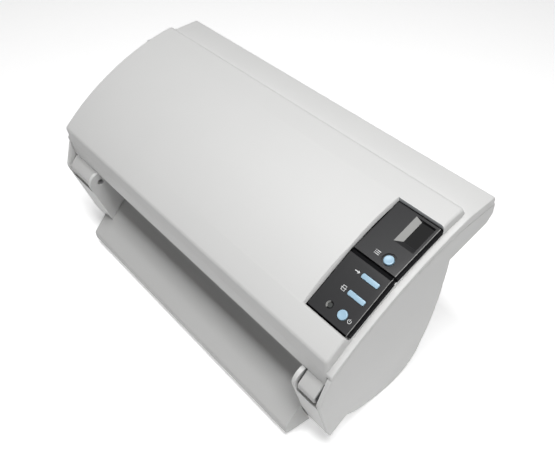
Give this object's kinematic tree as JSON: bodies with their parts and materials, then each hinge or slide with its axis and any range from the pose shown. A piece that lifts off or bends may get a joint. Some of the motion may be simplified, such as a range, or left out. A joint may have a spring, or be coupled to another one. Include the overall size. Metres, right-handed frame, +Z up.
{
  "type": "document scanner",
  "caption": "Desktop sheet-fed document scanner with a hinged feeder unit, geared roller train, sloping exit tray and a button panel.",
  "frame": {"origin": "centre of the bounding box at the level of the rubber feet", "axes": "+X along the width towards the control panel, +Y from the exit tray to the rear, +Z up"},
  "size_m": [0.301, 0.1564, 0.1589],
  "materials": {
    "pale_abs": "fine matt moulded ABS, pale warm grey",
    "chassis_plastic": "matt black glass-filled plastic",
    "panel_plastic": "satin charcoal plastic",
    "button_plastic": "satin pale blue plastic",
    "window_plastic": "clear grey display window",
    "lamp_plastic": "frosted lamp lens",
    "display_metal": "stamped display frame",
    "strip_glass": "clear float glass",
    "sensor_plastic": "matt black plastic",
    "roller_rubber": "matt EPDM rubber",
    "shaft_steel": "ground steel",
    "gear_plastic": "natural acetal",
    "motor_steel": "dark plated motor can",
    "board_laminate": "green circuit board laminate",
    "lever_plastic": "mid grey plastic"
  },
  "bodies": {
    "base": {"base_housing": "pale_abs", "right_side_cover": "pale_abs", "left_side_cover": "pale_abs", "rear_cover": "pale_abs", "exit_tray": "pale_abs", "rubber_feet": "roller_rubber", "hinge_bushes": "pale_abs", "lower_guide": "chassis_plastic", "lower_glass": "strip_glass", "lower_sensor_unit": "sensor_plastic", "shaft_bushes": "chassis_plastic", "gear_studs": "shaft_steel", "feed_motor": "motor_steel", "motor_screws": "shaft_steel", "main_board": "board_laminate", "power_inlet": "sensor_plastic", "usb_socket": "shaft_steel", "board_screws": "shaft_steel", "side_screws": "shaft_steel", "latch_pins": "shaft_steel"},
    "feeder": {"top_cover": "pale_abs", "hinge_arms": "pale_abs", "feeder_frame": "chassis_plastic", "frame_screws": "shaft_steel", "upper_glass": "strip_glass", "upper_sensor_unit": "sensor_plastic", "upper_panel": "panel_plastic", "lower_panel": "panel_plastic", "display_window": "window_plastic", "display_module": "display_metal", "display_board": "board_laminate", "switch_board": "board_laminate", "status_lamp": "lamp_plastic"},
    "motor_rotor": {"motor_shaft": "shaft_steel", "motor_pinion": "gear_plastic"},
    "drive_idler": {"drive_idler_gear": "gear_plastic"},
    "long_idler": {"long_idler_gear": "gear_plastic"},
    "reverse_idler": {"reverse_gear": "gear_plastic"},
    "exit_drive": {"exit_shaft": "shaft_steel", "exit_rollers": "roller_rubber", "exit_gear": "gear_plastic"},
    "feed_drive": {"feed_shaft": "shaft_steel", "feed_rollers": "roller_rubber", "feed_gear": "gear_plastic"},
    "pick_drive": {"pick_shaft": "shaft_steel", "pick_roller": "roller_rubber", "pick_gear": "gear_plastic"},
    "feed_idler_set": {"feed_idlers": "gear_plastic"},
    "exit_idler_set": {"exit_idlers": "gear_plastic"},
    "pad_arm": {"separation_pad": "roller_rubber", "pad_holder": "chassis_plastic"},
    "latch": {"latch_shaft": "shaft_steel", "release_lever": "lever_plastic"},
    "function_key": {"function_button": "button_plastic"},
    "power_key": {"power_button": "button_plastic"},
    "scan_key": {"scan_button": "button_plastic"},
    "send_key": {"send_button": "button_plastic"}
  },
  "joints": [
    {"name": "feeder_hinge", "type": "hinge", "parent": "base", "child": "feeder", "pos_m": [0, -0.06475, 0.0735], "axis": [1, 0, 0], "range_deg": [0, 80]},
    {"name": "motor_spin", "type": "hinge", "parent": "base", "child": "motor_rotor", "pos_m": [-0.097, -0.00526, 0.041], "axis": [1, 0, 0], "continuous": true},
    {"name": "drive_idler_spin", "type": "hinge", "parent": "base", "child": "drive_idler", "pos_m": [-0.1245, -0.01258, 0.05744], "axis": [1, 0, 0], "continuous": true},
    {"name": "long_idler_spin", "type": "hinge", "parent": "base", "child": "long_idler", "pos_m": [-0.1245, -0.01788, 0.08239], "axis": [1, 0, 0], "continuous": true},
    {"name": "reverse_idler_spin", "type": "hinge", "parent": "base", "child": "reverse_idler", "pos_m": [-0.1245, 0.01591, 0.09059], "axis": [1, 0, 0], "continuous": true},
    {"name": "exit_spin", "type": "hinge", "parent": "base", "child": "exit_drive", "pos_m": [0.007, -0.04104, 0.07839], "axis": [1, 0, 0], "continuous": true},
    {"name": "feed_spin", "type": "hinge", "parent": "base", "child": "feed_drive", "pos_m": [0.007, 0.00005, 0.09909], "axis": [1, 0, 0], "continuous": true},
    {"name": "pick_spin", "type": "hinge", "parent": "base", "child": "pick_drive", "pos_m": [0.007, 0.02283, 0.10721], "axis": [1, 0, 0], "continuous": true},
    {"name": "feed_idler_spin", "type": "hinge", "parent": "feeder", "child": "feed_idler_set", "pos_m": [0.007, -0.00526, 0.10963], "axis": [1, 0, 0], "continuous": true},
    {"name": "exit_idler_spin", "type": "hinge", "parent": "feeder", "child": "exit_idler_set", "pos_m": [0.007, -0.04634, 0.08893], "axis": [1, 0, 0], "continuous": true},
    {"name": "pad_tilt", "type": "hinge", "parent": "feeder", "child": "pad_arm", "pos_m": [0.007, 0.03148, 0.13004], "axis": [1, 0, 0], "range_deg": [-6, 0], "stiffness_Nm_per_rad": 0.4, "springref_deg": 5.73},
    {"name": "latch_turn", "type": "hinge", "parent": "feeder", "child": "latch", "pos_m": [0, 0.03475, 0.1495], "axis": [1, 0, 0], "range_deg": [0, 14]},
    {"name": "function_press", "type": "slide", "parent": "feeder", "child": "function_key", "axis": [0, 0.2957, -0.9553], "range_m": [0, 0.0008], "stiffness_N_per_m": 400, "springref_m": -0.0006},
    {"name": "power_press", "type": "slide", "parent": "feeder", "child": "power_key", "axis": [0, 0.4909, -0.8712], "range_m": [0, 0.0008], "stiffness_N_per_m": 400, "springref_m": -0.0006},
    {"name": "scan_press", "type": "slide", "parent": "feeder", "child": "scan_key", "axis": [0, 0.4909, -0.8712], "range_m": [0, 0.0008], "stiffness_N_per_m": 400, "springref_m": -0.0006},
    {"name": "send_press", "type": "slide", "parent": "feeder", "child": "send_key", "axis": [0, 0.4909, -0.8712], "range_m": [0, 0.0008], "stiffness_N_per_m": 400, "springref_m": -0.0006}
  ],
  "couplings": [
    {"joint": "drive_idler_spin", "follows": "motor_spin", "ratio": -0.8},
    {"joint": "long_idler_spin", "follows": "motor_spin", "ratio": 0.51613},
    {"joint": "exit_spin", "follows": "motor_spin", "ratio": -1},
    {"joint": "feed_spin", "follows": "motor_spin", "ratio": -0.88889},
    {"joint": "reverse_idler_spin", "follows": "motor_spin", "ratio": 0.88889},
    {"joint": "pick_spin", "follows": "motor_spin", "ratio": -0.88889}
  ]
}
